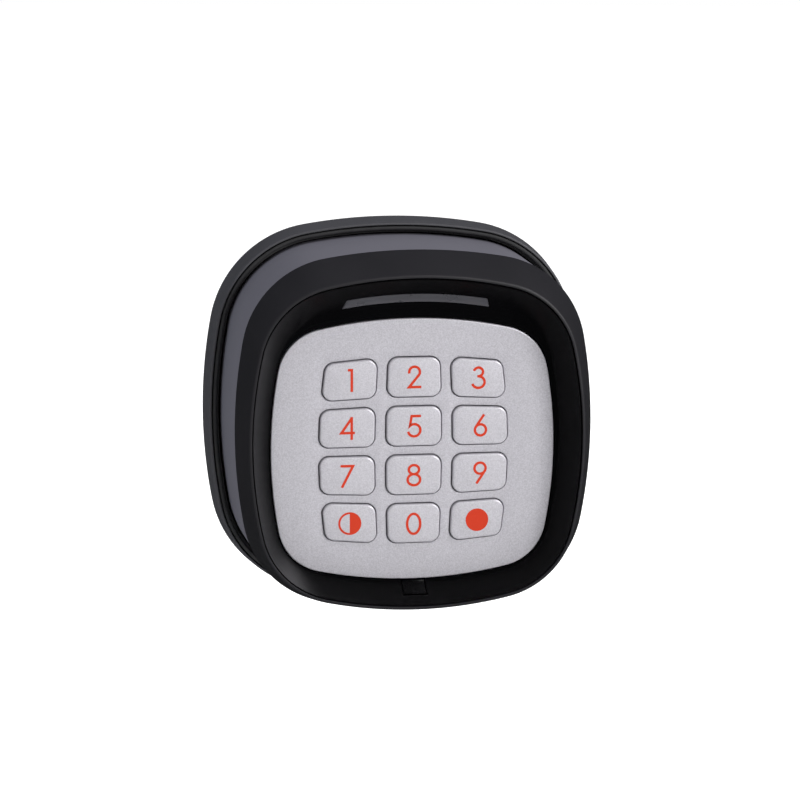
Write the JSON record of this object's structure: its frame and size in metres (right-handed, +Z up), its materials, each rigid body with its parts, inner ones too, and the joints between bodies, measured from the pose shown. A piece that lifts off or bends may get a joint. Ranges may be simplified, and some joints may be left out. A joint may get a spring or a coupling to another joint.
{
  "type": "alarm keypad",
  "caption": "Wall-mounted alarm keypad: rounded square housing on a dished wall plate, black face ring with indicator window, and a silver key panel that swings out.",
  "frame": {"origin": "centre of the wall plate's flat back, which lies on the wall", "axes": "+Z up the wall, +X to the right as seen from in front, -Y out of the wall towards the person at the keys"},
  "size_m": [0.1, 0.047, 0.1004],
  "materials": {
    "plate_black": "dark grey moulded ABS, fine spark texture",
    "seal_rubber": "black EPDM bead",
    "waist_grey": "satin grey lacquer on ABS",
    "bezel_black": "matt black ABS",
    "gloss_black": "polished black",
    "smoked_lens": "smoked polycarbonate",
    "silver_paint": "silver lacquer with fine metallic flake",
    "mat_rubber": "translucent grey silicone",
    "board_green": "green solder mask on glass laminate",
    "cover_black": "black ABS, bare moulding",
    "chip_black": "black epoxy and nylon",
    "screw_steel": "zinc-plated steel",
    "spring_steel": "nickel-plated spring steel",
    "cell_jacket": "printed foil jacket on a dry cell",
    "white_plastic": "white acetal",
    "copper": "bare copper wire",
    "key_print": "red-orange pad print"
  },
  "bodies": {
    "housing": {"wall_plate": "plate_black", "plate_seal": "seal_rubber", "body_shell": "waist_grey", "bezel": "bezel_black", "face_ring": "gloss_black", "indicator_lens": "smoked_lens", "shell_screw_1": "screw_steel", "shell_screw_2": "screw_steel", "shell_screw_3": "screw_steel", "shell_screw_4": "screw_steel", "bezel_screw_1": "screw_steel", "bezel_screw_2": "screw_steel"},
    "front_module": {"key_panel": "silver_paint", "key_mat": "mat_rubber", "circuit_board": "board_green", "rear_cover": "cover_black", "tamper_switch": "chip_black", "tamper_spring": "spring_steel", "sounder": "chip_black", "microcontroller": "chip_black", "radio_module": "board_green", "aerial_coil": "copper", "contact_positive": "spring_steel", "contact_negative": "spring_steel", "contact_link_left": "spring_steel", "contact_link_right": "spring_steel", "cell_1": "cell_jacket", "indicator_led_1": "white_plastic", "cell_2": "cell_jacket", "indicator_led_2": "white_plastic", "cell_3": "cell_jacket", "indicator_led_3": "white_plastic", "module_screw_1": "screw_steel", "module_screw_2": "screw_steel", "module_screw_3": "screw_steel", "module_screw_4": "screw_steel"},
    "key_1": {"key_1": "silver_paint"},
    "key_2": {"key_2": "silver_paint"},
    "key_3": {"key_3": "silver_paint"},
    "key_4": {"key_4": "silver_paint"},
    "key_5": {"key_5": "silver_paint"},
    "key_6": {"key_6": "silver_paint"},
    "key_7": {"key_7": "silver_paint"},
    "key_8": {"key_8": "silver_paint"},
    "key_9": {"key_9": "silver_paint"},
    "key_part_arm": {"key_part_arm": "silver_paint"},
    "key_0": {"key_0": "silver_paint"},
    "key_full_arm": {"key_full_arm": "silver_paint"},
    "release_catch": {"release_catch": "gloss_black"},
    "tamper_plunger": {"tamper_plunger": "white_plastic"}
  },
  "joints": [
    {"name": "module_swing", "type": "hinge", "parent": "housing", "child": "front_module", "pos_m": [0, -0.038, 0.0275], "axis": [-1, 0, 0], "range_deg": [0, 45]},
    {"name": "key_1_press", "type": "slide", "parent": "front_module", "child": "key_1", "axis": [0, 1, 0], "range_m": [0, 0.0008], "stiffness_N_per_m": 1200, "deforming": ["key_mat"]},
    {"name": "key_2_press", "type": "slide", "parent": "front_module", "child": "key_2", "axis": [0, 1, 0], "range_m": [0, 0.0008], "stiffness_N_per_m": 1200, "deforming": ["key_mat"]},
    {"name": "key_3_press", "type": "slide", "parent": "front_module", "child": "key_3", "axis": [0, 1, 0], "range_m": [0, 0.0008], "stiffness_N_per_m": 1200, "deforming": ["key_mat"]},
    {"name": "key_4_press", "type": "slide", "parent": "front_module", "child": "key_4", "axis": [0, 1, 0], "range_m": [0, 0.0008], "stiffness_N_per_m": 1200, "deforming": ["key_mat"]},
    {"name": "key_5_press", "type": "slide", "parent": "front_module", "child": "key_5", "axis": [0, 1, 0], "range_m": [0, 0.0008], "stiffness_N_per_m": 1200, "deforming": ["key_mat"]},
    {"name": "key_6_press", "type": "slide", "parent": "front_module", "child": "key_6", "axis": [0, 1, 0], "range_m": [0, 0.0008], "stiffness_N_per_m": 1200, "deforming": ["key_mat"]},
    {"name": "key_7_press", "type": "slide", "parent": "front_module", "child": "key_7", "axis": [0, 1, 0], "range_m": [0, 0.0008], "stiffness_N_per_m": 1200, "deforming": ["key_mat"]},
    {"name": "key_8_press", "type": "slide", "parent": "front_module", "child": "key_8", "axis": [0, 1, 0], "range_m": [0, 0.0008], "stiffness_N_per_m": 1200, "deforming": ["key_mat"]},
    {"name": "key_9_press", "type": "slide", "parent": "front_module", "child": "key_9", "axis": [0, 1, 0], "range_m": [0, 0.0008], "stiffness_N_per_m": 1200, "deforming": ["key_mat"]},
    {"name": "key_part_arm_press", "type": "slide", "parent": "front_module", "child": "key_part_arm", "axis": [0, 1, 0], "range_m": [0, 0.0008], "stiffness_N_per_m": 1200, "deforming": ["key_mat"]},
    {"name": "key_0_press", "type": "slide", "parent": "front_module", "child": "key_0", "axis": [0, 1, 0], "range_m": [0, 0.0008], "stiffness_N_per_m": 1200, "deforming": ["key_mat"]},
    {"name": "key_full_arm_press", "type": "slide", "parent": "front_module", "child": "key_full_arm", "axis": [0, 1, 0], "range_m": [0, 0.0008], "stiffness_N_per_m": 1200, "deforming": ["key_mat"]},
    {"name": "catch_push", "type": "slide", "parent": "front_module", "child": "release_catch", "axis": [0, 0, 1], "range_m": [0, 0.001], "stiffness_N_per_m": 400},
    {"name": "tamper_travel", "type": "slide", "parent": "front_module", "child": "tamper_plunger", "axis": [0, 1, 0], "range_m": [0, 0.0025], "deforming": ["tamper_spring"]}
  ],
  "couplings": [
    {"joint": "tamper_travel", "follows": "module_swing", "m_per_rad": 0.00318}
  ]
}
